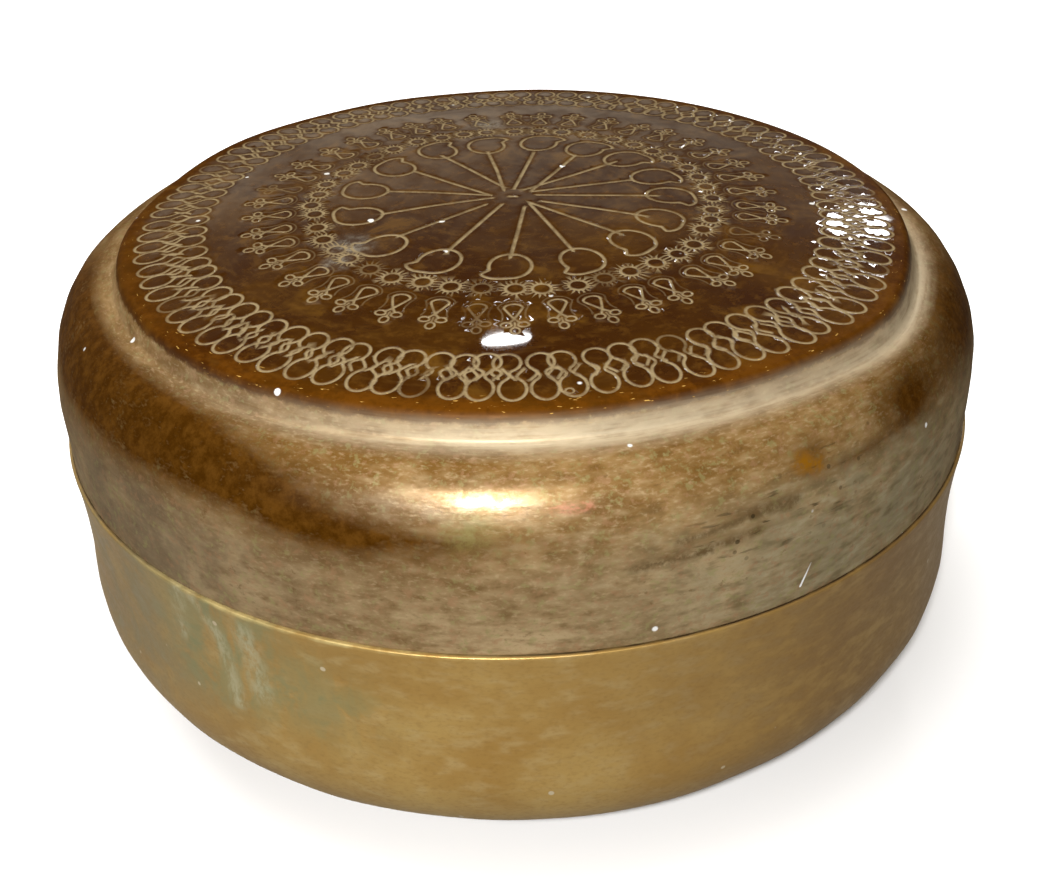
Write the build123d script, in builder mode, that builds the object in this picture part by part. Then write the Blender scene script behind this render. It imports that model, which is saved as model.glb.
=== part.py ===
from build123d import *
import os
from math import asin, degrees

# A round brass box with a lift-off lid, in millimetres, +Z up. The origin is the centre of the base,
# on the surface that the box stands on. Every piece is turned about the Z axis.

# Bowl, from the rim down
rim_height = 53.0        # the seam between bowl and lid
rim_radius = 90.5
rim_flare = 0.06         # slope of the wall where it opens out to the rim
waist_radius = 89.7      # the wall draws in a little below the rim
waist_height = 38.5
belly_radius = 90.4      # the widest part above the base
belly_height = 24.0
bilge_radius = 19.0      # side of the rounded bottom corner
foot_radius = 44.0       # flatter arc that runs into the base
bowl_wall = 1.5
rim_rounding = 0.25

# Collar, soldered inside the bowl's mouth
collar_radius = 88.5     # outside, against the bowl
collar_wall = 0.8
collar_below_rim = 10.0
collar_above_rim = 7.0
collar_lead_in = 0.3
seat_depth = 13.0        # straight stretch of the bowl's inside that the collar fits
solder_width = 1.3       # the bead under the collar laps a little past its edge
solder_depth = 2.5

# Lid
lid_clearance = 0.3      # radial, between the lid and the collar
lid_wall = 1.0
skirt_height = 13.0      # straight stretch above the seam
shoulder_side_radius = 22.0
shoulder_top_radius = 8.5
shoulder_height = 30.1   # shoulder's top above the seam
step_foot_radius = 76.9  # where the raised top leaves the shoulder
top_radius = 75.0        # edge of the raised top
step_rise = 4.5
dome_rise = 3.6          # the raised top's crown above its edge
foot_fillet = 1.2
edge_fillet = 1.6
lid_rim_rounding = 0.2

# Worked out
collar_base = rim_height - collar_below_rim
seat_height = rim_height - seat_depth
inner_belly_radius = belly_radius - bowl_wall
bilge_turn = degrees(asin((foot_radius - belly_height) / (foot_radius - bilge_radius)))
lid_radius = collar_radius + lid_clearance + lid_wall
shoulder_rise = shoulder_height - skirt_height
shoulder_turn = degrees(asin((shoulder_rise - shoulder_top_radius)
                             / (shoulder_side_radius - shoulder_top_radius)))
edge_height = rim_height + shoulder_height + step_rise
crown_height = edge_height + dome_rise
dome_radius = (top_radius ** 2 + dome_rise ** 2) / (2 * dome_rise)
quarter_turn = 90.0
near = 0.01              # edges this close to a stated radius and height are meant

os.makedirs("parts", exist_ok=True)


def circles_at(part, radius, height):
    """The circular edges of a turned part that have one radius and height."""
    circles = part.edges().filter_by(GeomType.CIRCLE)
    return circles.filter_by(
        lambda edge: abs(edge.radius - radius) < near and abs(edge.arc_center.Z - height) < near
    )


# Bowl: a heavy turned wall, straight inside its mouth, with a rounded corner and a flat base
with BuildPart() as bowl:
    with BuildSketch(Plane.XZ) as bowl_section:
        with BuildLine() as outside:
            wall = Spline(
                (rim_radius, rim_height), (waist_radius, waist_height), (belly_radius, belly_height),
                tangents=((-rim_flare, -1), (0, -1)),
            )
            bilge = JernArc(wall @ 1, (0, -1), bilge_radius, -bilge_turn)
            foot = JernArc(bilge @ 1, bilge % 1, foot_radius, bilge_turn - quarter_turn)
            Polyline(foot @ 1, (0, 0), (0, rim_height), (rim_radius, rim_height))
        make_face()
        with BuildLine() as inside:
            Line((collar_radius, rim_height), (collar_radius, seat_height))
            inner_wall = Bezier(
                (collar_radius, seat_height),
                (collar_radius, (seat_height + belly_height) / 2),
                (inner_belly_radius, (seat_height + belly_height) / 2),
                (inner_belly_radius, belly_height),
            )
            inner_bilge = JernArc(inner_wall @ 1, (0, -1), bilge_radius - bowl_wall, -bilge_turn)
            inner_foot = JernArc(
                inner_bilge @ 1, inner_bilge % 1, foot_radius - bowl_wall, bilge_turn - quarter_turn
            )
            Polyline(inner_foot @ 1, (0, bowl_wall), (0, rim_height), (collar_radius, rim_height))
        make_face(mode=Mode.SUBTRACT)
    revolve(axis=Axis.Z)
    fillet(circles_at(bowl, rim_radius, rim_height), rim_rounding)
bowl.part.label = "bowl"
export_step(bowl.part, "parts/bowl.step")

# Collar: a thin ring that stands out of the bowl's mouth and keeps the lid in place
with BuildPart() as collar:
    with BuildSketch(Plane.XY.offset(collar_base)) as collar_section:
        Circle(collar_radius)
        Circle(collar_radius - collar_wall, mode=Mode.SUBTRACT)
    extrude(amount=collar_below_rim + collar_above_rim)
    chamfer(circles_at(collar, collar_radius, rim_height + collar_above_rim), collar_lead_in)
collar.part.label = "collar"
export_step(collar.part, "parts/collar.step")

# Solder: the bead left in the corner under the collar's lower edge
with BuildPart() as collar_solder:
    with BuildSketch(Plane.XZ) as solder_section:
        with BuildLine() as solder_outline:
            Polyline(
                (collar_radius, collar_base),
                (collar_radius, collar_base - solder_depth),
                (collar_radius - solder_width, collar_base),
                close=True,
            )
        make_face()
    revolve(axis=Axis.Z)
collar_solder.part.label = "collar_solder"
export_step(collar_solder.part, "parts/collar_solder.step")

# Lid: one raised sheet, with a straight skirt, a round shoulder and a slightly domed raised top
with BuildPart() as lid:
    with BuildSketch(Plane.XZ) as lid_section:
        with BuildLine() as lid_outline:
            skirt = Line((lid_radius, rim_height), (lid_radius, rim_height + skirt_height))
            side = JernArc(skirt @ 1, (0, 1), shoulder_side_radius, shoulder_turn)
            top = JernArc(side @ 1, side % 1, shoulder_top_radius, quarter_turn - shoulder_turn)
            step_foot = Line(top @ 1, (step_foot_radius, rim_height + shoulder_height))
            step = Line(step_foot @ 1, (top_radius, edge_height))
            RadiusArc(step @ 1, (0, crown_height), -dome_radius)
            Polyline((0, crown_height), (0, rim_height), (lid_radius, rim_height))
        make_face()
        fillet(lid_section.vertices().sort_by_distance(step @ 0)[0], foot_fillet)
        fillet(lid_section.vertices().sort_by_distance(step @ 1)[0], edge_fillet)
    revolve(axis=Axis.Z)
    offset(amount=-lid_wall, openings=lid.faces().sort_by(Axis.Z)[0])
    fillet(circles_at(lid, lid_radius, rim_height), lid_rim_rounding)
lid.part.label = "lid"
export_step(lid.part, "parts/lid.step")

print("base flat radius", round((foot @ 1).X, 2))
print("outside diameter", 2 * rim_radius, "height", crown_height)
for piece in (bowl, collar, collar_solder, lid):
    print(piece.part.label, "volume", round(piece.part.volume / 1000, 2), "cm3",
          "bounds", piece.part.bounding_box())
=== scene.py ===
import math

import bpy
import numpy as np
from mathutils import Matrix, Vector
from mathutils.geometry import delaunay_2d_cdt
from mathutils.kdtree import KDTree


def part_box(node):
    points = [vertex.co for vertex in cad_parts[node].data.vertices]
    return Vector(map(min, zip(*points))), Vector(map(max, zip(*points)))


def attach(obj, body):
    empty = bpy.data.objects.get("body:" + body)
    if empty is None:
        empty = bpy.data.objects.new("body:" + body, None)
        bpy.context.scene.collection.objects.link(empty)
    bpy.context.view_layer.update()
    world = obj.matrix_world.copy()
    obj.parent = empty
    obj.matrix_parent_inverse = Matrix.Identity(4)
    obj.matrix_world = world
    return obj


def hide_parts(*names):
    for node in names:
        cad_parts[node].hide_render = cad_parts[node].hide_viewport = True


# A round lidded brass box. Shapes are worked out in millimetres and written to the meshes in metres.

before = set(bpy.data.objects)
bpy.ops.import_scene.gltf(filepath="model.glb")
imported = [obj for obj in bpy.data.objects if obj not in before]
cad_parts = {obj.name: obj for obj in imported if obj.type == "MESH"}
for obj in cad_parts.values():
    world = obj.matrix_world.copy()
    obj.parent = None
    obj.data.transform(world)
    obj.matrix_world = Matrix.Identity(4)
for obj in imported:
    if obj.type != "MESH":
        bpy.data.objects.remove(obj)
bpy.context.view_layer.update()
MM = 0.001
TAU = 2 * math.pi
FRONT = -90.0                     # azimuth of the side that faces the camera, in degrees


def node_box(node):
    """Lowest and highest corner of a CAD node, in millimetres."""
    low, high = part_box(node)
    return low / MM, high / MM


# ---------------- sizes
lid_low, lid_high = node_box("lid")
_, bowl_high = node_box("bowl")
collar_low, collar_high = node_box("collar")
solder_low, solder_high = node_box("collar_solder")

seam = lid_low.z                  # the lid's edge, on the bowl's rim
crown = lid_high.z
lid_radius = lid_high.x
lid_wall = 1.0
collar_radius = collar_high.x
collar_wall = 0.8
solder_width = 1.3
rim_radius = bowl_high.x + 0.02   # stands proud of the lid all round
skirt_top = seam + 13.0           # the lid's wall is upright up to here
shoulder_side = 22.0              # radii of the shoulder's two arcs
shoulder_top = 8.5
shoulder_height = seam + 30.1
step_foot = 76.9                  # radius where the raised top leaves the shoulder
top_radius = 75.0                 # radius of the raised top's edge
dome_rise = 3.6
edge_height = crown - dome_rise
disc_radius = 73.6                # the chased disc ends here, inside the rounded edge
edge_round, foot_round = 1.6, 1.2  # radii that round the raised top's edge and the foot of its step

waist_radius, waist_height = 89.7, seam - 14.5    # the bowl's wall is hollow here
belly_radius, belly_height = 90.4, 24.0           # and fullest here
bilge_radius, foot_radius = 19.0, 44.0            # radii of the two arcs down to the base
bowl_wall = 1.5
seat_height = seam - 13.0         # the collar is let into the bowl down to here

COLUMNS = 208                     # round the axis
AZIMUTHS = np.arange(COLUMNS) * 360 / COLUMNS
ROUND_STEP = math.radians(11)     # along the arcs of a section
SMALL_STEP = math.radians(14)     # along its small roundings

# ---------------- sections


def arc(centre, radius, start, end, step=ROUND_STEP):
    """Points on an arc, angles in radians."""
    count = max(2, math.ceil(abs(end - start) / step) + 1)
    angles = np.linspace(start, end, count)
    return [(centre[0] + radius * math.cos(a), centre[1] + radius * math.sin(a)) for a in angles]


def rounded(before, corner, after, radius, step=ROUND_STEP):
    """The arc that rounds a corner of a section."""
    p, c, q = (np.array(v, float) for v in (before, corner, after))
    u = (p - c) / np.linalg.norm(p - c)
    v = (q - c) / np.linalg.norm(q - c)
    half = math.acos(float(np.clip(u @ v, -1, 1))) / 2
    middle = c + (u + v) / np.linalg.norm(u + v) * radius / math.sin(half)
    first = c + u * radius / math.tan(half) - middle
    last = c + v * radius / math.tan(half) - middle
    a = math.atan2(first[1], first[0])
    b = math.atan2(last[1], last[0])
    turn = (b - a + math.pi) % TAU - math.pi
    return arc(middle, radius, a, a + turn, step)


def spaced(points, step):
    """A section with points added so that no run between two is longer than step."""
    found = [points[0]]
    for p, q in zip(points, points[1:]):
        count = max(1, math.ceil(math.dist(p, q) / step))
        found += [tuple(np.array(p) + (np.array(q) - np.array(p)) * k / count) for k in range(1, count + 1)]
    return found


def beside(points, distance):
    """A section's points moved along its normal, to the left of its direction."""
    p = np.array(points)
    along = np.gradient(p, axis=0)
    along /= np.linalg.norm(along, axis=1)[:, None]
    return p + distance * np.stack([-along[:, 1], along[:, 0]], -1)


def dome_height(radius):
    return crown - dome_rise * (radius / top_radius) ** 2


def lid_outside():
    """From the chased disc's edge out over the step and the shoulder, down to the skirt's edge."""
    edge = (top_radius, edge_height)
    foot = (step_foot, shoulder_height)
    turn = math.asin((shoulder_height - skirt_top - shoulder_top) / (shoulder_side - shoulder_top))
    side_centre = (lid_radius - shoulder_side, skirt_top)
    reach = shoulder_side - shoulder_top
    top_centre = (side_centre[0] + reach * math.cos(turn), side_centre[1] + reach * math.sin(turn))
    inner = (disc_radius, dome_height(disc_radius))
    points = [inner]
    points += rounded(inner, edge, foot, edge_round, SMALL_STEP)
    points += rounded(edge, foot, (top_centre[0], shoulder_height), foot_round, SMALL_STEP)
    points += arc(top_centre, shoulder_top, math.pi / 2, turn)
    points += arc(side_centre, shoulder_side, turn, 0)[1:]
    points += [(lid_radius, seam + 0.35)]
    points += rounded((lid_radius, skirt_top), (lid_radius, seam), (0, seam), 0.25, math.radians(30))
    return spaced(points, 2.6)


def lid_inside(outside):
    """The sheet's inner face, from the skirt's edge up and over to the axis."""
    body = [p for p in outside if p[1] > seam + 0.3]
    inner = [tuple(p) for p in beside(body, -lid_wall)]
    ring = inner[0]
    top = [(r, dome_height(r) - lid_wall) for r in np.linspace(ring[0], 0, 18)[1:]]
    up = [(lid_radius - lid_wall, seam)] + inner[::-1]
    return up + top


def bowl_outside():
    """From the base's centre out and up to the rim."""
    turn = math.asin((foot_radius - belly_height) / (foot_radius - bilge_radius))
    bilge_centre = (belly_radius - bilge_radius, belly_height)
    back = foot_radius - bilge_radius
    foot_centre = (bilge_centre[0] - back * math.cos(turn), foot_radius)
    base = [(r, 0.0) for r in np.linspace(0, foot_centre[0], 12)[:-1]]
    points = base + arc(foot_centre, foot_radius, -math.pi / 2, -turn, math.radians(5))
    points += arc(bilge_centre, bilge_radius, -turn, 0, math.radians(7))[1:]
    for k in range(1, 13):
        t = k / 12
        z = belly_height + (seam - belly_height) * t
        dip = (z - waist_height) / (seam - waist_height)
        points.append((waist_radius + (rim_radius - waist_radius) * dip * dip, z))
    rim = points.pop()
    points.append((rim_radius - 0.04, seam - 0.8))
    return points + rounded(points[-1], rim, (0, seam), 0.3, math.radians(24))


def bowl_inside():
    """From the rim's inner edge down and in to the axis."""
    inner_belly = belly_radius - bowl_wall
    turn = math.asin((foot_radius - belly_height) / (foot_radius - bilge_radius))
    bilge_centre = (belly_radius - bilge_radius, belly_height)
    back = foot_radius - bilge_radius
    foot_centre = (bilge_centre[0] - back * math.cos(turn), foot_radius)
    points = [(collar_radius, seam), (collar_radius, seat_height)]
    for k in range(1, 7):
        t = k / 6
        ease = t * t * (3 - 2 * t)
        points.append((collar_radius + (inner_belly - collar_radius) * ease,
                       seat_height + (belly_height - seat_height) * t))
    points += arc(bilge_centre, bilge_radius - bowl_wall, 0, -turn, math.radians(7))[1:]
    points += arc(foot_centre, foot_radius - bowl_wall, -turn, -math.pi / 2, math.radians(5))[1:]
    points += [(r, bowl_wall) for r in np.linspace(foot_centre[0], 0, 12)[1:]]
    return spaced(points[:2], 3.0) + points[2:]


# ---------------- hand-made unevenness


def waves(points, seed, length, count=18):
    """Smooth random height for each point, about -1 to 1, with lumps about this long in millimetres."""
    rng = np.random.default_rng(seed)
    total = np.zeros(len(points))
    for _ in range(count):
        way = rng.normal(size=3)
        way *= TAU / (length * rng.uniform(0.7, 1.6)) / np.linalg.norm(way)
        total += np.sin(points @ way + rng.uniform(0, TAU))
    return total / math.sqrt(count)


def bump(azimuth, centre, width):
    """A smooth bump round the axis, all angles in degrees."""
    away = (azimuth - centre + 180) % 360 - 180
    return np.exp(-(away / width) ** 2)


def smooth(value, low, high):
    t = np.clip((value - low) / (high - low), 0, 1)
    return t * t * (3 - 2 * t)


# Where the raised top is out of round: azimuth, half width in degrees and millimetres outward
DENTS = ((-36, 14, 1.9), (-70, 14, -0.8), (-125, 16, 0.5), (168, 14, -1.0), (-97, 18, -0.5))


def uneven(points, part):
    """Moves a piece's points as hammering and handling left them. Out-of-round is shared by all pieces."""
    r = np.hypot(points[:, 0], points[:, 1])
    azimuth = np.degrees(np.arctan2(points[:, 1], points[:, 0]))
    z = points[:, 2]
    angle = np.radians(azimuth)
    out = (0.28 * np.cos(2 * (angle - 0.5)) + 0.12 * np.cos(3 * (angle + 0.4))) * smooth(r, 20, 85)
    up = np.zeros(len(points))
    if part == "lid":
        step = smooth(r, 55, 72) * smooth(-r, -86, -79) * smooth(z, skirt_top + 6, shoulder_height - 4)
        out += step * sum(way * bump(azimuth, at, wide) for at, wide, way in DENTS)
        high = smooth(z, skirt_top, shoulder_height)
        up += high * 0.14 * waves(points, 3, 46) + smooth(-r, -70, -40) * 0.05 * waves(points, 4, 24)
        out += smooth(z, seam + 4, skirt_top) * (1 - high) * 0.16 * waves(points, 5, 30)
    if part == "bowl":
        wall = smooth(-z, -(seam - 8), -(seam - 20)) * smooth(z, 1.0, 12.0)
        out += wall * (0.22 * waves(points, 7, 34) + 0.08 * waves(points, 8, 16))
        base = smooth(-z, -6, -2.5) * smooth(-r, -54, -40)
        up += base * (0.35 + 0.18 * waves(points, 9, 22))
    scale = 1 + out / np.maximum(r, 1.0)
    moved = points.copy()
    moved[:, 0] *= scale
    moved[:, 1] *= scale
    moved[:, 2] += up
    return moved


# ---------------- turned pieces


class Shell:
    """Points, faces and per-point values of a mesh that is being built."""

    def __init__(self):
        self.points = []
        self.faces = []
        self.values = {}

    def add(self, points, **values):
        start = sum(len(p) for p in self.points)
        self.points.append(np.asarray(points, float))
        for name in set(values) | set(self.values):
            have = self.values.setdefault(name, [np.zeros(start)] if start else [])
            given = values.get(name, 0.0)
            have.append(np.broadcast_to(np.asarray(given, float), (len(points),)).copy())
        return start

    def ring(self, r, z, **values):
        angles = np.arange(COLUMNS) * TAU / COLUMNS
        points = np.stack([r * np.cos(angles), r * np.sin(angles), np.full(COLUMNS, z)], -1)
        return self.add(points, **values)

    def band(self, first, second):
        """Faces between two rings. The first is the lower one on an outer wall, the upper one on an inner."""
        for k in range(COLUMNS):
            n = (k + 1) % COLUMNS
            self.faces.append((first + k, first + n, second + n, second + k))

    def fan(self, centre, ring, way):
        """Faces between a centre point and a ring, facing up with way 1 and down with way -1."""
        for k in range(COLUMNS):
            n = (k + 1) % COLUMNS
            self.faces.append((centre, ring + k, ring + n)[::way])

    def mesh(self, name, part):
        points = uneven(np.concatenate(self.points), part)
        data = bpy.data.meshes.new(name)
        data.from_pydata((points * MM).tolist(), [], self.faces)
        for key, parts in self.values.items():
            layer = data.attributes.new(key, "FLOAT", "POINT")
            layer.data.foreach_set("value", np.concatenate(parts).astype(np.float32))
        data.validate()
        data.shade_smooth()
        piece = bpy.data.objects.new(name, data)
        bpy.context.scene.collection.objects.link(piece)
        return piece


def turned(shell, section, previous=None, run=0.0, closed=False, **values):
    """Turns a section about the axis, from top to bottom on the outside and on round to the inside.
    With a previous ring given, the section's first point is that ring's. Each value is a number or a
    function of radius, height and azimuth. Returns the last ring and its distance along the section."""
    if previous is not None:
        last = section[0]
        section = section[1:]
    else:
        last = None
    first = None
    centre = None
    for r, z in section:
        if last is not None:
            run += math.dist(last, (r, z))
        last = (r, z)
        azimuth = AZIMUTHS if r > 1e-6 else np.zeros(1)
        here = {key: value(r, z, azimuth) if callable(value) else value for key, value in values.items()}
        if r > 1e-6:
            ring = shell.ring(r, z, run=run, **here)
            if previous is not None:
                shell.band(ring, previous)
            if centre is not None:
                shell.fan(centre, ring, 1)
                centre = None
            previous = ring
            first = ring if first is None else first
        else:
            centre = shell.add([(0, 0, z)], run=run, **here)
            if previous is not None:
                shell.fan(centre, previous, -1)
    if closed:
        shell.band(first, previous)
    return previous, run


# ---------------- chased decoration


def evenly(points, step, closed=False):
    """A path's points spaced evenly, about a step apart."""
    p = np.asarray(points, float)
    if closed:
        p = np.vstack([p, p[:1]])
    run = np.concatenate([[0], np.cumsum(np.linalg.norm(np.diff(p, axis=0), axis=1))])
    count = max(2, round(run[-1] / step) + 1)
    at = np.linspace(0, run[-1], count)
    found = np.stack([np.interp(at, run, p[:, 0]), np.interp(at, run, p[:, 1])], -1)
    return found[:-1] if closed else found


def oval(width, length, start=0.0, end=TAU, count=40):
    """Points on an ellipse with these half sizes across and outward."""
    angles = np.linspace(start, end, count)
    return np.stack([width * np.cos(angles), length * np.sin(angles)], -1)


def curve(first, pull, last, count=10):
    """A quadratic curve between two points."""
    t = np.linspace(0, 1, count)[:, None]
    a, b, c = (np.array(p, float) for p in (first, pull, last))
    return (1 - t) ** 2 * a + 2 * t * (1 - t) * b + t * t * c


def comma_loop():
    """A nearly round loop whose end runs past its start in a tail."""
    angles = np.radians(np.linspace(158, 510, 60))
    across, outward = 3.8, 4.6
    reach = across * outward / np.hypot(outward * np.cos(angles), across * np.sin(angles))
    reach = reach * (1 + 0.48 * smooth(np.degrees(angles), 448, 510))
    loop = np.stack([reach * np.cos(angles), reach * np.sin(angles)], -1)
    return np.vstack([loop, curve(loop[-1], (-3.9, 1.9), loop[0], 6)])


def horseshoe():
    """An arch that closes in to a neck and flares out again. It opens outward."""
    bow = oval(2.2, 2.6, math.radians(116), math.radians(424), 40) + (0, -3.45)
    left = np.vstack([[(-1.75, 1.5)], curve((-0.7, 0.0), (-0.4, -0.45), bow[0], 6)])
    right = (left * (-1, 1))[::-1]
    return np.vstack([left, bow[1:-1], right])


def teardrop():
    """A loop with its round end inward and its point outward, its lines crossing at the point."""
    bow = oval(1.65, 1.35, math.radians(190), math.radians(350), 20) + (0, -2.4)
    left = curve((0.8, 2.0), (-0.2, 0.9), bow[0], 12)
    right = curve(bow[-1], (0.2, 0.9), (-0.8, 2.0), 12)
    return np.vstack([left, bow[1:-1], right])


def wings():
    """The wider, lighter arch that stands round the teardrop."""
    bow = oval(2.7, 2.5, math.radians(195), math.radians(345), 24) + (0, -2.2)
    left = curve((-2.3, 1.6), (-1.3, 0.0), bow[0], 8)
    right = curve(bow[-1], (1.3, 0.0), (2.3, 1.6), 8)
    return np.vstack([left, bow[1:-1], right])


SPOKES, BEADED_RINGS, TREFOILS, HORSESHOES = 16, 44, 42, 87
SPOKE_END, LOOP_RADIUS, BEAD_RADIUS, TREFOIL_RADIUS, BORDER_RADIUS = 26.2, 30.3, 38.6, 47.0, 65.1
TICKS = 17                        # round one beaded ring
# A trefoil's three rings: place across and outward, half width and half height
LEAVES = ((-1.45, 2.75, 0.95, 0.75), (1.45, 2.75, 0.95, 0.75), (0.0, 4.6, 0.78, 1.0))
GROOVE_ROWS = (0.4, 1.05, 1.45)   # rows of points beside a line, in half widths
FILL = 1.5                        # spacing of the points between the lines
MERGE = 0.17                      # points that fall in one square of this size become one


class Chasing:
    """The chased lines on the lid's top: paths in millimetres, each with a half width and a depth."""

    def __init__(self, seed):
        self.rng = np.random.default_rng(seed)
        self.lines = []

    def strike(self, shape, radius, azimuth, half=0.29, depth=0.17, tilt=0.0, closed=False, step=0.6):
        """One punch or line: a shape with x along the ring and y outward, placed on the disc."""
        turn = math.radians(tilt)
        a = math.radians(azimuth)
        p = np.asarray(shape, float)
        p = np.stack([p[:, 0] * math.cos(turn) - p[:, 1] * math.sin(turn),
                      p[:, 0] * math.sin(turn) + p[:, 1] * math.cos(turn)], -1)
        outward = np.array([math.cos(a), math.sin(a)])
        along = np.array([-outward[1], outward[0]])
        placed = outward * (radius + p[:, 1:2]) + along * p[:, :1]
        self.lines.append((evenly(placed, step, closed), evenly(placed, 0.12, closed), half, depth))

    def jitter(self, size):
        return self.rng.normal() * size

    def force(self, faint=0.06):
        """How hard a punch was struck."""
        return 0.35 if self.rng.random() < faint else self.rng.uniform(0.8, 1.1)

    def spokes(self):
        """Spokes that end in comma-shaped loops, set out by eye and so closer together at the back."""
        for k in range(SPOKES):
            azimuth = FRONT - 1 + k * 360 / SPOKES
            azimuth += 7.7 * math.cos(math.radians(azimuth + 38)) - 4.3 + self.jitter(0.5)
            start = 3.6 + abs(self.jitter(1.3))
            end = SPOKE_END + self.rng.uniform(-1.6, 2.0)
            lean = self.jitter(0.9) if k else 2.2
            line = [(lean, start), (0.5 * lean, (start + end) / 2), (self.jitter(0.3), end)]
            self.strike(line, 0, azimuth, 0.46, 0.2)
            self.strike(comma_loop(), LOOP_RADIUS + self.jitter(0.5), azimuth + self.jitter(0.5), 0.42, 0.2,
                        tilt=self.jitter(4), step=0.55)
        self.strike([(-0.7, 0), (0.7, 0.1)], 0, FRONT, 0.5, 0.12)

    def beaded_rings(self):
        for k in range(BEADED_RINGS):
            azimuth = FRONT + k * 360 / BEADED_RINGS + self.jitter(0.6)
            radius = BEAD_RADIUS + self.jitter(0.35)
            force = self.force()
            ring = oval(1.68, 1.68, count=30)[:-1]
            self.strike(ring, radius, azimuth, 0.4, 0.15 * force, closed=True, step=0.45)
            for t in range(TICKS):
                way = np.array([math.cos(t * TAU / TICKS), math.sin(t * TAU / TICKS)])
                self.strike([way * 2.0, way * 2.4], radius, azimuth, 0.22, 0.13 * force, step=0.4)

    def trefoils(self):
        for k in range(TREFOILS):
            azimuth = FRONT + 1 + k * 360 / TREFOILS + self.jitter(0.5)
            radius = TREFOIL_RADIUS + self.jitter(0.3)
            tilt = self.jitter(5)
            force = self.force()
            self.strike(teardrop(), radius, azimuth, 0.3, 0.15 * force, tilt, step=0.5)
            self.strike(wings(), radius, azimuth, 0.22, 0.035 * force, tilt + self.jitter(2), step=0.6)
            for x, y, wide, tall in LEAVES:
                ring = oval(wide, tall, count=18)[:-1]
                self.strike(ring + (x, y), radius, azimuth, 0.27, 0.14 * force, tilt, closed=True, step=0.4)
            self.strike([(0, 2.1), (0, 3.6)], radius, azimuth, 0.24, 0.12 * force, tilt, step=0.45)

    def border(self):
        """Two rows of horseshoe marks back to back, which fall in and out of step round the lid."""
        pitch = 360 / HORSESHOES
        for k in range(HORSESHOES):
            azimuth = FRONT + k * pitch
            drift = pitch * 0.4 * math.sin(math.radians(1.5 * azimuth + 110))
            for length, shift in ((1.0, drift), (-1.15, 0.0)):
                at = azimuth + self.jitter(0.28) + shift
                self.strike(horseshoe() * (1, length), BORDER_RADIUS + self.jitter(0.2), at, 0.36,
                            0.16 * self.force(0.07), tilt=self.jitter(3.0), step=0.6)
        stray = oval(0.7, 0.7, count=16)[:-1]
        self.strike(stray, BORDER_RADIUS + 5.2, FRONT + 7.2, 0.24, 0.1, closed=True, step=0.4)

    def points(self):
        """Mesh points along both sides of every line."""
        found = []
        for path, _, half, _ in self.lines:
            along = np.gradient(path, axis=0)
            along /= np.linalg.norm(along, axis=1)[:, None]
            across = np.stack([-along[:, 1], along[:, 0]], -1)
            for share in GROOVE_ROWS:
                found += [path + across * half * share, path - across * half * share]
        return np.vstack(found)

    def tree(self):
        """A search tree of points along the lines, and each point's half width and depth."""
        samples = np.vstack([fine for _, fine, _, _ in self.lines])
        facts = np.vstack([np.tile((half, depth), (len(fine), 1)) for _, fine, half, depth in self.lines])
        tree = KDTree(len(samples))
        for k, p in enumerate(samples):
            tree.insert((p[0], p[1], 0), k)
        tree.balance()
        return tree, facts


def chased_disc(shell):
    """The lid's chased top out to the disc's edge. Returns the first point of its outer ring."""
    chasing = Chasing(11)
    chasing.spokes()
    chasing.beaded_rings()
    chasing.trefoils()
    chasing.border()
    tree, facts = chasing.tree()

    lines = chasing.points()
    rows = np.arange(-disc_radius, disc_radius, FILL * 0.87)
    fill = np.array([(x + (i % 2) * FILL / 2, y) for i, y in enumerate(rows)
                     for x in np.arange(-disc_radius, disc_radius, FILL)])
    clear = [tree.find((x, y, 0))[2] > FILL * 0.4 for x, y in fill]
    points = np.vstack([lines, fill[clear]])
    points = points[np.hypot(points[:, 0], points[:, 1]) < disc_radius - 0.5]
    _, kept = np.unique(np.round(points / MERGE).astype(int), axis=0, return_index=True)
    points = points[np.sort(kept)]

    angles = np.arange(COLUMNS) * TAU / COLUMNS
    rim = np.stack([disc_radius * np.cos(angles), disc_radius * np.sin(angles)], -1)
    flat = [Vector(p) for p in np.vstack([rim, points])]
    edges = [(k, (k + 1) % COLUMNS) for k in range(COLUMNS)]
    flat, _, triangles, _, _, _ = delaunay_2d_cdt(flat, edges, [], 0, 1e-6)
    flat = np.array([tuple(p) for p in flat])

    cut = np.zeros(len(flat))
    residue = np.zeros(len(flat))
    nearby = np.zeros(len(flat))
    for k, (x, y) in enumerate(flat):
        _, index, distance = tree.find((x, y, 0))
        half, depth = facts[index]
        share = distance / half
        inside = 1 - min(1, max(0, (share - 0.4) / 0.65))
        cut[k] = depth * inside
        residue[k] = inside * min(1, depth / 0.12)
        nearby[k] = 1 - min(1, max(0, (share - 1.3) / 0.6))
    radius = np.hypot(flat[:, 0], flat[:, 1])
    height = dome_height(radius) - cut
    azimuth = np.degrees(np.arctan2(flat[:, 1], flat[:, 0]))
    start = shell.add(np.column_stack([flat, height]), run=radius, groove=residue, top=1.0,
                      shine=smooth(-radius, -72.5, -70.0) * (1 - 0.8 * nearby),
                      edge=edged(radius, height, azimuth))
    shell.faces += [tuple(start + i for i in t) for t in triangles]
    return start


# ---------------- pieces


def near(value, middle, width):
    return np.exp(-((value - middle) / width) ** 2)


# Each of these functions gives how far something holds, at a radius and height, for every azimuth.


def on_top(r, z, azimuth):
    """1 on the raised top. Adding 0 * azimuth gives each azimuth its value."""
    return smooth(z, edge_height - 3.4, edge_height + 0.1) + 0 * azimuth


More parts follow.
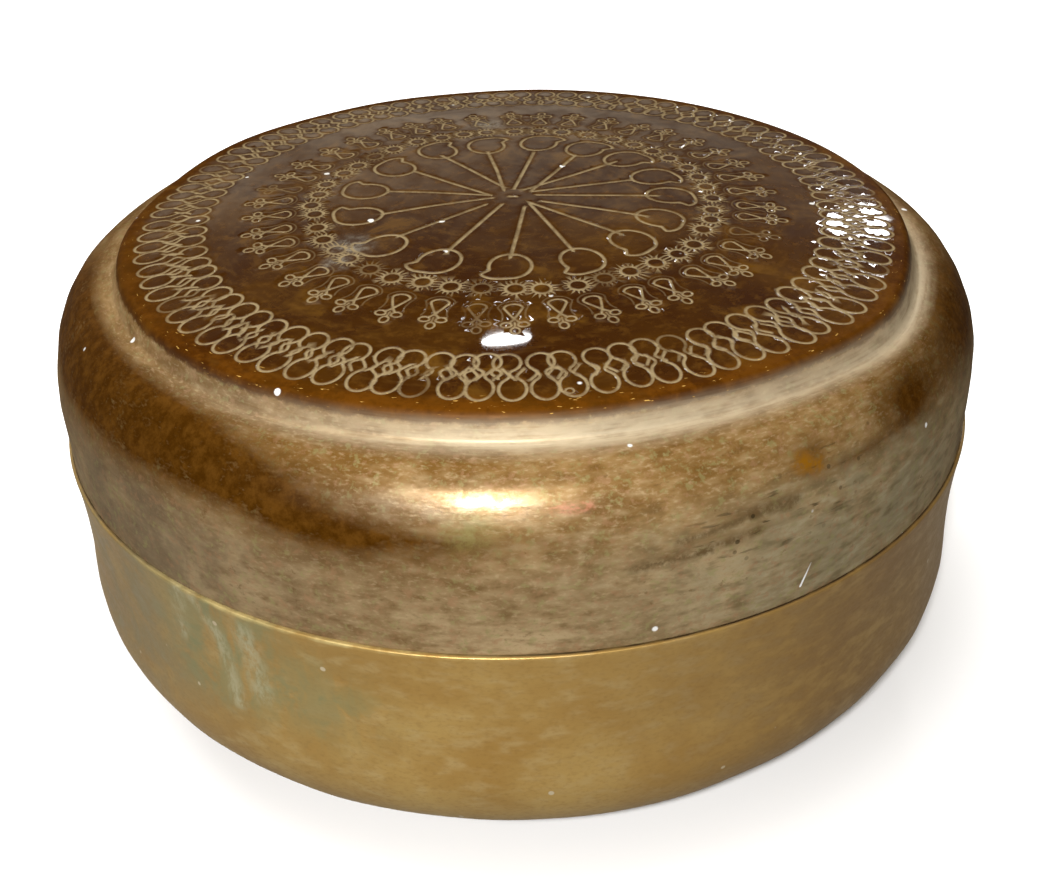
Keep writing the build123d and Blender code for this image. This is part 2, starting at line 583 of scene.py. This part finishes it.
def pale_step_with_painted_highlight(r, z, azimuth):
    """The step's side, pale from wear and old polishing, and the hollow at its foot, painted with a pale line
    that is a painted highlight; both most of all in front.
    """
    side = smooth(z, shoulder_height - 0.4, shoulder_height + 0.5)
    pale = side * (1 - on_top(r, z, azimuth)) + (1 - side) * near(r, step_foot + 0.6, 1.0)
    return pale * (0.05 + 0.75 * bump(azimuth, -84, 32) + 0.66 * bump(azimuth, -25, 30))


# Darker places on the lid's shoulder: azimuth, half width in degrees, height, half height, strength
STAINS = ((-168, 16, 79, 6, 1.1), (-150, 14, 79, 7, 1.2), (-135, 11, 79, 6, 1.2),
          (-124, 9, 78.5, 4.2, 1.1), (-114, 8, 75.5, 4.6, 1.0), (-105, 8, 72.8, 3.4, 0.8),
          (-95, 9, 73.2, 1.8, 0.6), (-58, 2.2, 78, 2.0, 0.9), (-51, 7, 75.2, 1.0, 0.7),
          (-41, 5, 78, 4.0, 1.0), (-20, 16, 78.5, 6.5, 1.2), (20, 25, 79, 5.0, 0.7),
          (150, 25, 79, 5.0, 0.7), (-70, 7, 69.5, 0.9, 0.5), (-66, 6, 73.0, 0.8, 0.5))


def stained(r, z, azimuth):
    """The darker places, kept off the raised top's step."""
    total = sum(force * bump(azimuth, at, wide) * near(z, height, tall)
                for at, wide, height, tall, force in STAINS)
    return np.minimum(total, 1.2) * smooth(r, step_foot + 1.5, step_foot + 4)


def greyed(r, z, azimuth):
    """The right side, where the lid has gone grey below the shoulder."""
    return bump(azimuth, -50, 26) * smooth(-z, -79, -71)


def shoulder_painted_shade(r, z, azimuth):
    """0 on the skirt and 1 on the shoulder, which is painted darker and browner: a painted shade, with the
    skirt painted lighter as if lit from the floor.
    """
    return smooth(z, seam + 10, seam + 24) + 0 * azimuth


def polished_with_painted_highlight(r, z, azimuth):
    """The front of the shoulder, rubbed smooth enough to shine, and painted paler there: a painted highlight
    where the flash reflects.
    """
    return bump(azimuth, -95, 15) * near(z, 78.3, 2.8)


def left_side_painted_shade(r, z, azimuth):
    """The left side, painted darker and greyer all the way down: a painted shade where less light falls."""
    return bump(azimuth, -138, 28) * smooth(-z, -76, -68)


def edged(r, z, azimuth):
    """The raised top's edge, where the brown has worn to orange."""
    return near(r, disc_radius, 2.4) * (0.35 + 0.65 * bump(azimuth, -92, 55)) * on_top(r, z, azimuth)


def pitted(r, z, azimuth):
    """The right front of the shoulder and skirt, which has black pits."""
    return bump(azimuth, -64, 9) * near(z, 70.5, 5.0) + 0.5 * bump(azimuth, -52, 8) * near(z, 76, 5.0)


def lid_piece():
    shell = Shell()
    first = chased_disc(shell)
    outside = lid_outside()
    last, run = turned(shell, outside, first, disc_radius, top=on_top, step=pale_step_with_painted_highlight, stain=stained,
                       grey=greyed, dull=left_side_painted_shade, pits=pitted, rise=shoulder_painted_shade, polish=polished_with_painted_highlight, edge=edged)
    turned(shell, [outside[-1]] + lid_inside(outside), last, run, inside=1.0)
    return shell.mesh("lid_shell", "lid")


def ledge_wear_and_painted_highlight(r, z, azimuth):
    """The bowl's rim where it stands a little proud of the lid, rubbed bright, with a painted highlight where
    its flat top catches the light.
    """
    return smooth(z, seam - 0.9, seam - 0.2) * np.minimum(1, 1.3 * bump(azimuth, -114, 15))


def rim_dirt_and_painted_shadow(r, z, azimuth):
    """The rest of the rim where it meets the lid, darkened by dirt and by a painted shadow under the lid's
    edge.
    """
    return smooth(-r, -rim_radius + 0.2, -lid_radius - 0.1) * smooth(z, seam - 0.4, seam - 0.1) + 0 * azimuth


def rubbed_base(r, z, azimuth):
    """The base and the curve just above it, worn by the table."""
    return smooth(-z, -7.0, -1.0) + 0 * azimuth


def green_patch(r, z, azimuth):
    drip = 1.3 * bump(azimuth, -124, 7) * smooth(z, 27, 38)
    spot = 0.7 * bump(azimuth, -111, 6) * near(z, 38, 8)
    behind = 0.6 * bump(azimuth, 40, 14) * smooth(z, 26, 44)
    return np.minimum(1.0, drip + spot + behind)


def grimed(r, z, azimuth):
    """The bowl's left side is greyer, in patches."""
    return bump(azimuth, -142, 17) * smooth(z, 14, 30)


def painted_shade_right_and_back(r, z, azimuth):
    """The bowl's right side is painted darker and browner, a painted shade, with a weaker patch at the back.
    """
    return 0.8 * bump(azimuth, -48, 26) * smooth(z, 8, 24) + 0.5 * bump(azimuth, 120, 40) * smooth(z, 8, 24)


def bowl_piece():
    shell = Shell()
    inside = bowl_inside()[::-1]
    last, run = turned(shell, inside, inside=1.0)
    outside = bowl_outside()[::-1]
    under_lid = [(collar_radius + 0.3, seam), (lid_radius + 0.1, seam)]
    turned(shell, [inside[-1]] + under_lid + outside, last, run, ledge=ledge_wear_and_painted_highlight, lip=rim_dirt_and_painted_shadow,
           under=rubbed_base, verdigris=green_patch, brown=painted_shade_right_and_back, grime=grimed)
    return shell.mesh("bowl_shell", "bowl")


def collar_piece():
    low, high = collar_low.z, collar_high.z
    inner = collar_radius - collar_wall
    section = [(inner + 0.25, high), (collar_radius - 0.3, high), (collar_radius, high - 0.3)]
    section = spaced(section + [(collar_radius, low), (inner, low), (inner, high - 0.25)], 2.5)
    shell = Shell()
    turned(shell, section, closed=True)
    return shell.mesh("collar_ring", "collar")


def solder_piece():
    """A line of solder under the collar, uneven where it ran."""
    low, high = solder_low.z, solder_high.z
    reach = solder_high.x - collar_radius + solder_width
    rng = np.random.default_rng(21)
    angles = np.radians(AZIMUTHS)
    lumps = 1 + 0.12 * sum(np.sin(angles * n + rng.uniform(0, TAU)) for n in (17, 31, 46)) / 1.7
    section = [(collar_radius, high), (collar_radius, low)]
    for k in range(1, 6):
        t = k / 6
        hollow = 0.16 * math.sin(math.pi * t)
        section.append((collar_radius - reach * t + hollow, low + (high - low) * t + hollow * 0.8))
    section.append((collar_radius - reach, high))
    shell = Shell()
    turned(shell, section, closed=True)
    rows = np.vstack(shell.points)
    r = np.hypot(rows[:, 0], rows[:, 1])
    grow = 1 - (collar_radius - r) * (np.tile(lumps, len(section)) - 1) / r
    rows[:, :2] *= grow[:, None]
    shell.points = [rows]
    return shell.mesh("solder_bead", "solder")


# ---------------- materials


def around(azimuth, r, z):
    """A place on the object, from its azimuth in degrees, its radius and its height."""
    a = math.radians(azimuth)
    return r * math.cos(a), r * math.sin(a), z


class Graph:
    """Short calls that build the nodes of a material or of the world. Lengths are in millimetres."""

    def __init__(self, owner, coordinates="Object"):
        owner.use_nodes = True
        self.owner = owner
        self.nodes = owner.node_tree.nodes
        self.links = owner.node_tree.links
        self.place = self.nodes.new("ShaderNodeTexCoord").outputs[coordinates]

    def feed(self, socket, value):
        if isinstance(value, bpy.types.NodeSocket):
            self.links.new(value, socket)
        elif isinstance(value, tuple) and len(value) == 3 and len(socket.default_value) == 4:
            socket.default_value = (*value, 1.0)
        else:
            socket.default_value = value

    def value(self, name):
        node = self.nodes.new("ShaderNodeAttribute")
        node.attribute_name = name
        return node.outputs["Fac"]

    def calc(self, kind, a, b=0.0, c=0.0):
        node = self.nodes.new("ShaderNodeMath")
        node.operation = kind
        for socket, value in zip(node.inputs, (a, b, c)):
            self.feed(socket, value)
        return node.outputs[0]

    def times(self, *values):
        found = values[0]
        for value in values[1:]:
            found = self.calc("MULTIPLY", found, value)
        return found

    def plus(self, *values):
        found = values[0]
        for value in values[1:]:
            found = self.calc("ADD", found, value)
        return found

    def rest(self, value):
        """What a share leaves of 1."""
        return self.calc("SUBTRACT", 1.0, value)

    def span(self, value, low, high, start=0.0, end=1.0):
        """A value taken smoothly from start to end between low and high."""
        node = self.nodes.new("ShaderNodeMapRange")
        node.interpolation_type = "SMOOTHSTEP"
        for name, given in (("Value", value), ("From Min", low), ("From Max", high),
                            ("To Min", start), ("To Max", end)):
            self.feed(node.inputs[name], given)
        return node.outputs["Result"]

    def mix(self, share, a, b):
        node = self.nodes.new("ShaderNodeMix")
        node.data_type = "RGBA"
        self.feed(node.inputs[0], share)
        self.feed(node.inputs[6], a)
        self.feed(node.inputs[7], b)
        return node.outputs[2]

    def layers(self, under, *layers):
        """Lays colours over a colour. A layer is a noise with its low and high, the cover at each,
        the colour and, if it isn't to be everywhere, a mask."""
        for noise, low, high, cover, colour, *mask in layers:
            share = self.times(*mask, self.span(noise, low, high, *cover))
            under = self.mix(share, under, colour)
        return under

    def split(self, vector):
        node = self.nodes.new("ShaderNodeSeparateXYZ")
        self.links.new(vector, node.inputs[0])
        return node.outputs

    def stretched(self, x, y, z):
        """The position with each axis scaled, for noise with lumps of these lengths."""
        node = self.nodes.new("ShaderNodeMapping")
        self.feed(node.inputs["Vector"], self.place)
        node.inputs["Scale"].default_value = (1000 / x, 1000 / y, 1000 / z)
        return node.outputs[0]

    def streaks(self, long, short, seed=0.0):
        """Noise that runs round the piece: long along the ring and short across it."""
        x, y, _ = self.split(self.place)
        join = self.nodes.new("ShaderNodeCombineXYZ")
        self.links.new(self.times(x, 1000 / long), join.inputs[0])
        self.links.new(self.times(y, 1000 / long), join.inputs[1])
        self.links.new(self.calc("MULTIPLY_ADD", self.value("run"), 1 / short, seed), join.inputs[2])
        return self.noise(None, 2, 0.55, vector=join.outputs[0])

    def noise(self, size, detail=2.0, rough=0.5, vector=None, bend=0.0, shift=0.0):
        node = self.nodes.new("ShaderNodeTexNoise")
        node.noise_dimensions = "4D"
        self.links.new(vector or self.place, node.inputs["Vector"])
        node.inputs["W"].default_value = shift
        node.inputs["Scale"].default_value = 1000 / size if size else 1.0
        node.inputs["Detail"].default_value = detail
        node.inputs["Roughness"].default_value = rough
        node.inputs["Distortion"].default_value = bend
        return node.outputs["Fac"]

    def spots(self, apart, size, share, soft=0.35):
        """Round spots where the surface cuts balls of this radius, scattered this far apart in space."""
        node = self.nodes.new("ShaderNodeTexVoronoi")
        self.links.new(self.place, node.inputs["Vector"])
        node.inputs["Scale"].default_value = 1000 / apart
        disc = self.span(node.outputs["Distance"], size / apart, size / apart * (1 - soft))
        split = self.nodes.new("ShaderNodeSeparateColor")
        self.links.new(node.outputs["Color"], split.inputs[0])
        return self.times(disc, self.span(split.outputs[0], 1 - share, 1 - share + 0.02))

    def mark(self, start, end, radius, soft=0.5):
        """1 near the line between two points in millimetres, and 0 beyond this radius."""
        a, b = Vector(start) * MM, Vector(end) * MM
        reach = self.vector("SUBTRACT", self.place, tuple(a))
        way = (b - a) / max((b - a).length_squared, 1e-12)
        share = self.vector("DOT_PRODUCT", reach, tuple(way), "Value")
        share = self.calc("MINIMUM", self.calc("MAXIMUM", share, 0.0), 1.0)
        along = self.vector("SCALE", tuple(b - a), share)
        away = self.vector("DISTANCE", reach, along, "Value")
        return self.span(away, radius * MM, radius * MM * (1 - soft))

    def vector(self, kind, a, b, output="Vector"):
        node = self.nodes.new("ShaderNodeVectorMath")
        node.operation = kind
        self.feed(node.inputs[0], a)
        self.feed(node.inputs["Scale" if kind == "SCALE" else 1], b)
        return node.outputs[output]

    def bump(self, height, distance, strength=1.0, under=None):
        """A normal for small relief of this height in millimetres, on top of another normal if given."""
        node = self.nodes.new("ShaderNodeBump")
        node.inputs["Strength"].default_value = strength
        node.inputs["Distance"].default_value = distance * MM
        self.links.new(height, node.inputs["Height"])
        if under is not None:
            self.links.new(under, node.inputs["Normal"])
        return node.outputs[0]


class Finish(Graph):
    """A material with the Principled shader."""

    def __init__(self, name):
        super().__init__(bpy.data.materials.new(name))

    def set(self, **inputs):
        for name, value in inputs.items():
            self.feed(self.nodes["Principled BSDF"].inputs[name.replace("_", " ")], value)
        return self.owner


# Smudges on the lid's right front: start, end (azimuth, radius, height) and radius
SMUDGES = (((-78.5, 89.2, 67.8), (-70.5, 89.2, 68.9), 1.7), ((-72, 89.2, 68.6), (-65, 89, 69.8), 1.3),
           ((-74, 88.8, 71.0), (-65, 88.5, 72.6), 1.3), ((-66, 88.2, 72.6), (-60.5, 88.4, 72.6), 1.8))
# Pale haze on the raised top: place and radius
HAZES = (((-146.7, 35.1, 90.1), 6.0), ((-140, 41, 89.9), 4.0), ((97.7, 44, 89.9), 5.0))
# Cream drips down the bowl's left front: top, foot and radius
DRIPS = (((-128.9, 90.6, 52), (-130.0, 90.1, 42), 3.0), ((-126.5, 90.3, 52), (-124.0, 90.0, 46), 2.2),
         ((-123.8, 90.0, 46), (-122.2, 90.4, 32), 2.8), ((-119.8, 90.0, 49), (-118.8, 90.0, 36), 4.0))


def lid_finish():
    """Brown and orange on the raised top, pale on its step, mottled on the shoulder and skirt."""
    f = Finish("lid_brass")
    step, inside, groove, edge = (f.value(name) for name in ("step", "inside", "groove", "edge"))
    grey, stain, polish = (f.value(name) for name in ("grey", "stain", "polish"))
    cloud = f.noise(24, 3, 0.6, bend=0.5)
    patch = f.noise(9, 4, 0.65, bend=0.6, shift=8.0)
    mottle = f.streaks(4.5, 1.7, 3.0)
    grain = f.streaks(1.1, 0.55, 5.0)
    rings = f.streaks(30, 2.0)
    fine = f.streaks(14, 0.45, 7.0)
    crumbs = f.noise(2.4, 4, 0.7, shift=12.0)
    hue = f.noise(1.7, 3, 0.7, shift=21.0)
    top = f.span(f.plus(f.value("top"), f.times(crumbs, 1.1)), 0.9, 1.2)

    # the skirt and shoulder: the skirt painted lighter as if lit from the floor, the shoulder darker and
    # browner as painted shade
    tone = f.span(f.plus(cloud, f.times(rings, 0.25)), 0.5, 0.78)
    side = f.mix(tone, (0.26, 0.17, 0.08), (0.40, 0.29, 0.155))
    brown = f.mix(tone, (0.15, 0.074, 0.016), (0.265, 0.155, 0.055))
    side = f.mix(f.value("rise"), side, brown)
    side = f.layers(
        side,
        (patch, 0.5, 0.7, (0.0, 0.6), (0.17, 0.09, 0.026)),
        (mottle, 0.45, 0.85, (0.0, 0.55), (0.42, 0.31, 0.165)),
        (mottle, 0.55, 0.2, (0.0, 0.75), (0.12, 0.06, 0.014)),
        (grain, 0.5, 0.75, (0.0, 0.45), (0.46, 0.34, 0.19)),
        (grain, 0.45, 0.25, (0.0, 0.4), (0.1, 0.055, 0.016)),
        (patch, 0.35, 0.6, (0.35, 0.85), (0.26, 0.22, 0.13), grey),
        (mottle, 0.5, 0.7, (0.0, 0.6), (0.36, 0.31, 0.19), grey),
        (mottle, 0.5, 0.3, (0.0, 0.7), (0.15, 0.115, 0.055), grey),
        # painted shade: the left side darker and greyer
        (patch, 0.35, 0.6, (0.35, 0.75), (0.14, 0.105, 0.065), f.value("dull")),
        (hue, 0.54, 0.66, (0.0, 0.5), (0.25, 0.225, 0.09)),
        (hue, 0.46, 0.34, (0.0, 0.45), (0.3, 0.165, 0.085)),
        (crumbs, 0.62, 0.7, (0.0, 0.5), (0.11, 0.06, 0.02)))
    for start, end, wide in SMUDGES:
        smudge = f.mark(around(*start), around(*end), wide, 0.95)
        side = f.layers(side, (crumbs, 0.36, 0.6, (0.1, 0.9), (0.12, 0.078, 0.034), smudge))
    stain_colour = f.mix(f.span(crumbs, 0.38, 0.7), (0.052, 0.018, 0.001), (0.105, 0.042, 0.005))
    dark = f.times(stain, f.span(f.plus(patch, crumbs, grain), 1.05, 1.6, 0.5, 1.0))
    side = f.mix(dark, side, stain_colour)
    # three small coloured spots on the shoulder
    green = f.mark((-5, -87.3, 75.6), (-8, -87, 75), 4.5, 0.9)
    red = f.mark((6, -85.8, 78.0), (11, -85.2, 78.0), 1.4, 0.9)
    orange = f.mark((44.2, -74.2, 77.6), (46.6, -72.6, 76.2), 2.8, 0.9)
    side = f.layers(
        side,
        (crumbs, 0.3, 0.6, (0.0, 0.7), (0.2, 0.175, 0.06), green),
        (grain, 0.4, 0.6, (0.1, 0.6), (0.42, 0.14, 0.08), red),
        (crumbs, 0.35, 0.6, (0.2, 1.0), (0.24, 0.1, 0.006), orange))

    # the raised top
    ground = f.mix(f.span(cloud, 0.38, 0.68), (0.034, 0.009, 0.0004), (0.062, 0.022, 0.001))
    ground = f.layers(
        ground,
        (patch, 0.52, 0.72, (0.0, 0.6), (0.15, 0.066, 0.006)),
        (mottle, 0.5, 0.8, (0.0, 0.4), (0.13, 0.058, 0.009)),
        (crumbs, 0.5, 0.7, (0.0, 0.5), (0.12, 0.05, 0.006)),
        (f.plus(patch, crumbs), 0.8, 1.15, (0.3, 1.0), (0.115, 0.037, 0.002), edge))
    for place, wide in HAZES:
        haze = f.mark(around(*place), around(*place), wide, 0.95)
        ground = f.layers(ground, (crumbs, 0.4, 0.65, (0.1, 0.8), (0.3, 0.28, 0.23), haze))

    # both together, with the step, the grooves and small marks
    colour = f.mix(top, side, ground)
    # the step's side paled by wear, and a painted highlight along the hollow at its foot
    colour = f.layers(colour, (f.plus(fine, mottle), 0.7, 1.1, (0.65, 1.0), (0.585, 0.495, 0.345), step))
    pale = f.times(groove, f.span(f.noise(3, 3, 0.7, shift=9.0), 0.32, 0.6, 0.5, 1.0))
    colour = f.mix(pale, colour, (0.28, 0.21, 0.11))
    flecks = f.times(edge, f.span(f.streaks(1.8, 0.5, 17.0), 0.66, 0.72))
    colour = f.mix(flecks, colour, (0.7, 0.42, 0.1))
    burnt = f.calc("MAXIMUM", f.spots(2.6, 0.5, 0.5), f.span(f.streaks(5, 0.9, 11.0), 0.6, 0.7))
    colour = f.mix(f.times(f.value("pits"), burnt), colour, (0.04, 0.028, 0.012))
    scratch = f.mark((46.9, -75.9, 59.5), (45.5, -77.0, 55.5), 0.3)
    colour = f.mix(scratch, colour, (0.9, 0.9, 0.88))
    outside = f.rest(inside)
    specks = f.times(f.spots(12, 0.7, 0.6), outside)
    colour = f.mix(specks, colour, (0.85, 0.85, 0.82))
    dull = f.mix(f.span(cloud, 0.35, 0.7), (0.2, 0.125, 0.05), (0.33, 0.235, 0.115))
    colour = f.mix(inside, colour, dull)

    # gloss and relief
    rough = f.span(f.plus(f.times(mottle, 0.6), f.times(grain, 0.4)), 0.3, 0.7, 0.42, 0.56)
    rough = f.plus(rough, f.times(f.calc("MAXIMUM", groove, inside), 0.1))
    # the shoulder's front: polish lowers the roughness, and the pale colour mixed in is a painted highlight
    worn = f.times(polish, f.span(f.plus(mottle, crumbs), 0.8, 1.1, 0.5, 1.0))
    rough = f.calc("SUBTRACT", rough, f.times(worn, 0.23))
    colour = f.mix(f.times(worn, polish, 0.34), colour, (0.6, 0.51, 0.38))
    metal = f.times(f.span(top, 0.0, 1.0, 0.3, 0.15), f.rest(f.times(groove, 0.8)))
    normal = f.bump(f.plus(f.times(grain, 0.4), mottle), 0.05, 0.6)
    normal = f.bump(fine, 0.02, 0.4, normal)
    gloss = f.times(outside, f.value("shine"), f.span(patch, 0.35, 0.6, 0.55, 0.9))
    return f.set(Base_Color=colour, Metallic=metal, Roughness=rough, Normal=normal,
                 Specular_IOR_Level=0.0, Coat_Weight=gloss, Coat_Roughness=0.025)


def bowl_finish():
    """Golden brass with verdigris, grime, painted shade on the right side, a rim painted dark under the lid
    with dirt and a painted shadow, its proud edge painted bright with wear and a painted highlight, and a
    scratched base.
    """
    f = Finish("bowl_brass")
    inside, ledge, under = f.value("inside"), f.value("ledge"), f.value("under")
    grime, verdigris = f.value("grime"), f.value("verdigris")
    cloud = f.noise(22, 3, 0.6, bend=0.5)
    mottle = f.streaks(5, 2.4, 3.0)
    grain = f.streaks(1.0, 0.6, 5.0)
    drips = f.noise(None, 3, 0.6, vector=f.stretched(4.2, 4.2, 14))
    blot = f.noise(7, 4, 0.65, bend=0.4, shift=4.0)
    body = f.mix(f.span(cloud, 0.35, 0.7), (0.40, 0.235, 0.06), (0.50, 0.33, 0.105))
    body = f.layers(
        body,
        (mottle, 0.45, 0.75, (0.0, 0.55), (0.54, 0.4, 0.18)),
        (grain, 0.45, 0.75, (0.0, 0.35), (0.3, 0.17, 0.045)),
        (blot, 0.35, 0.6, (0.3, 1.0), (0.31, 0.235, 0.11), grime),
        (blot, 0.55, 0.66, (0.0, 0.6), (0.34, 0.29, 0.16), grime),
        (drips, 0.36, 0.54, (0.0, 1.0), (0.33, 0.275, 0.115), verdigris),
        (blot, 0.48, 0.64, (0.0, 0.75), (0.25, 0.265, 0.125), verdigris))
    ragged = f.noise(None, 4, 0.7, vector=f.stretched(1.6, 1.6, 3.2), shift=6.0)
    for top, foot, wide in DRIPS:
        drip = f.times(f.mark(around(*top), around(*foot), wide, 1.0), f.span(ragged, 0.4, 0.62, 0.1, 1.0))
        body = f.mix(f.times(drip, 0.85), body, (0.5, 0.46, 0.28))
    # painted shade: the right side and a patch at the back darker and browner
    body = f.mix(f.times(f.value("brown"), f.span(mottle, 0.3, 0.6, 0.5, 1.0)), body, (0.24, 0.135, 0.045))
    # dirt and a painted shadow along the rim under the lid's edge
    lip = f.times(f.value("lip"), f.rest(ledge))
    body = f.mix(f.times(lip, f.span(mottle, 0.3, 0.6, 0.75, 1.0)), body, (0.035, 0.018, 0.006))
    # the rim's proud edge painted bright: wear and a painted highlight
    bright = f.span(f.plus(mottle, drips), 0.85, 1.15, 0.15, 0.9)
    body = f.mix(f.times(ledge, bright), body, (0.66, 0.52, 0.22))
    body = f.mix(f.spots(10, 0.6, 0.7), body, (0.62, 0.52, 0.34))
    dull = f.mix(f.span(cloud, 0.35, 0.7), (0.22, 0.135, 0.05), (0.36, 0.25, 0.115))
    colour = f.mix(inside, body, dull)
    scratches = f.span(f.noise(None, 3, 0.7, vector=f.stretched(0.5, 9, 9)), 0.56, 0.66)
    colour = f.mix(f.times(under, f.span(mottle, 0.4, 0.6, 0.2, 0.6)), colour, (0.3, 0.19, 0.07))
    colour = f.mix(f.times(under, scratches, 0.6), colour, (0.75, 0.56, 0.25))
    rough = f.span(f.plus(f.times(mottle, 0.6), f.times(grain, 0.4)), 0.3, 0.7, 0.34, 0.5)
    rough = f.plus(rough, f.times(inside, 0.12))
    normal = f.bump(f.plus(f.times(grain, 0.4), mottle), 0.05, 0.6)
    normal = f.bump(f.streaks(18, 0.6, 7.0), 0.03, 0.4, normal)
    beyond_lip = f.rest(lip)
    return f.set(Base_Color=colour, Metallic=f.times(beyond_lip, 0.55), Roughness=rough, Normal=normal,
                 Specular_IOR_Level=0.35)


def collar_finish():
    f = Finish("collar_brass")
    mottle = f.noise(4, 4, 0.6)
    lines = f.streaks(30, 0.8)
    colour = f.mix(f.span(mottle, 0.35, 0.7), (0.5, 0.33, 0.11), (0.72, 0.52, 0.22))
    colour = f.mix(f.span(lines, 0.55, 0.75, 0.0, 0.5), colour, (0.3, 0.18, 0.06))
    rough = f.span(lines, 0.3, 0.7, 0.24, 0.4)
    return f.set(Base_Color=colour, Metallic=0.9, Roughness=rough, Normal=f.bump(lines, 0.03, 0.5))


def solder_finish():
    f = Finish("solder")
    mottle = f.noise(1.6, 4, 0.65)
    colour = f.mix(f.span(mottle, 0.35, 0.7), (0.16, 0.15, 0.14), (0.38, 0.37, 0.35))
    return f.set(Base_Color=colour, Metallic=0.85, Roughness=f.span(mottle, 0.3, 0.7, 0.35, 0.6),
                 Normal=f.bump(mottle, 0.08, 0.6))


for build, finish, body, node, slot in (
        (lid_piece, lid_finish, "cover", "lid", "lid_brass"),
        (bowl_piece, bowl_finish, "base", "bowl", "bowl_brass"),
        (collar_piece, collar_finish, "base", "collar", "collar_brass"),
        (solder_piece, solder_finish, "base", "collar_solder", "solder")):
    piece = build()
    piece.data.materials.append(finish())
    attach(piece, body)
    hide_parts(node)

# ---------------- floor, lights and camera


def floor_plane():
    """A pale floor. The camera sees it white, and the box reflects a dimmer one."""
    data = bpy.data.meshes.new("floor")
    far = 4.0
    corners = [(-far, -far, 0), (far, -far, 0), (far, far, 0), (-far, far, 0)]
    data.from_pydata(corners, [], [(0, 1, 2, 3)])
    plane = bpy.data.objects.new("floor", data)
    bpy.context.scene.collection.objects.link(plane)
    paint = Finish("floor_paint")
    eye = paint.nodes.new("ShaderNodeLightPath").outputs["Is Camera Ray"]
    colour = paint.mix(eye, (0.3, 0.295, 0.285), (0.95, 0.95, 0.95))
    away = paint.vector("LENGTH", paint.place, (0, 0, 0), "Value")
    lift = paint.plus(paint.span(away, 0.08, 0.16, 0.0, 0.8), paint.span(away, 0.3, 1.0, 0.0, 0.4))
    lift = paint.times(eye, lift)
    data.materials.append(paint.set(Base_Color=colour, Roughness=1.0, Specular_IOR_Level=0.0,
                                    Emission_Color=(1.0, 1.0, 1.0), Emission_Strength=lift))


def lamp(name, azimuth, elevation, distance, size, power, aim=(0, 0, 0.06)):
    """A soft light in this direction from where it aims, in degrees and metres. The camera doesn't see it."""
    data = bpy.data.lights.new(name, "AREA")
    data.shape = "ELLIPSE"
    data.size, data.size_y = size
    data.energy = power
    light = bpy.data.objects.new(name, data)
    a, e = math.radians(azimuth), math.radians(elevation)
    way = Vector((math.cos(a) * math.cos(e), math.sin(a) * math.cos(e), math.sin(e)))
    light.location = Vector(aim) + way * distance
    light.rotation_mode = "QUATERNION"
    light.rotation_quaternion = way.to_track_quat("Z", "Y")
    light.visible_camera = False
    bpy.context.scene.collection.objects.link(light)
    return light


def surroundings():
    """White behind the object for the camera. Reflections get a dim room with a bright wall at the back."""
    world = bpy.data.worlds.new("studio")
    bpy.context.scene.world = world
    air = Graph(world, "Generated")
    x, y, z = air.split(air.place)
    wall = air.times(air.span(z, 0.58, 0.2, 0.0, 0.6), air.span(y, 0.3, 0.9, 0.1, 1.0),
                     air.span(x, 0.42, -0.05, 0.25, 1.0))
    room = air.plus(wall, air.span(z, 0.6, 1.0, 0.04, 0.42), air.span(x, 0.3, -0.9, 0.0, 0.05))
    eye = air.nodes.new("ShaderNodeLightPath").outputs["Is Camera Ray"]
    shade = air.nodes["Background"]
    air.feed(shade.inputs["Strength"], air.calc("MAXIMUM", room, eye))
    air.feed(shade.inputs["Color"], air.mix(eye, (1.0, 0.86, 0.66), (1.0, 1.0, 1.0)))


def camera():
    """The photograph's viewpoint, fitted to its outline: above and in front, with a slight roll."""
    data = bpy.data.cameras.new("camera")
    data.sensor_fit = "HORIZONTAL"
    data.sensor_width = 36.0
    data.lens = 45.68
    data.clip_start, data.clip_end = 0.02, 20.0
    eye = bpy.data.objects.new("camera", data)
    bpy.context.scene.collection.objects.link(eye)
    elevation, roll = math.radians(32.925), math.radians(-1.079)
    distance = 293.4 * MM
    target = Vector((2.77, 0.0, 34.61)) * MM
    back = Vector((0.0, -math.cos(elevation), math.sin(elevation)))
    right = Vector((1.0, 0.0, 0.0))
    up = back.cross(right)
    turned_right = right * math.cos(roll) + up * math.sin(roll)
    turned_up = up * math.cos(roll) - right * math.sin(roll)
    place = target + back * distance
    columns = (turned_right.to_4d(), turned_up.to_4d(), back.to_4d(), place.to_4d())
    eye.matrix_world = Matrix([[column[k] for column in columns] for k in range(3)] + [[0, 0, 0, 1]])
    bpy.context.scene.camera = eye


floor_plane()
surroundings()
lamp("overhead", azimuth=150, elevation=74, distance=1.1, size=(0.9, 0.9), power=5)
back_fill = lamp("back_fill", azimuth=130, elevation=24, distance=0.9, size=(0.4, 0.4), power=2.4)
back_fill.visible_glossy = False
lamp("flash", azimuth=-97, elevation=37, distance=0.5, size=(0.05, 0.04), power=2.8)
# Each of these two makes one reflection on the raised top, at the place that it aims at
lamp("oval_glint", azimuth=91.7, elevation=36.7, distance=1.0, size=(0.062, 0.011), power=0.09,
     aim=(-0.001, -0.0545, 0.0893))
lamp("window_glint", azimuth=70.9, elevation=21.5, distance=1.0, size=(0.085, 0.085), power=0.8,
     aim=(0.066, -0.009, 0.0884))
camera()
bpy.context.scene.view_settings.view_transform = "Standard"
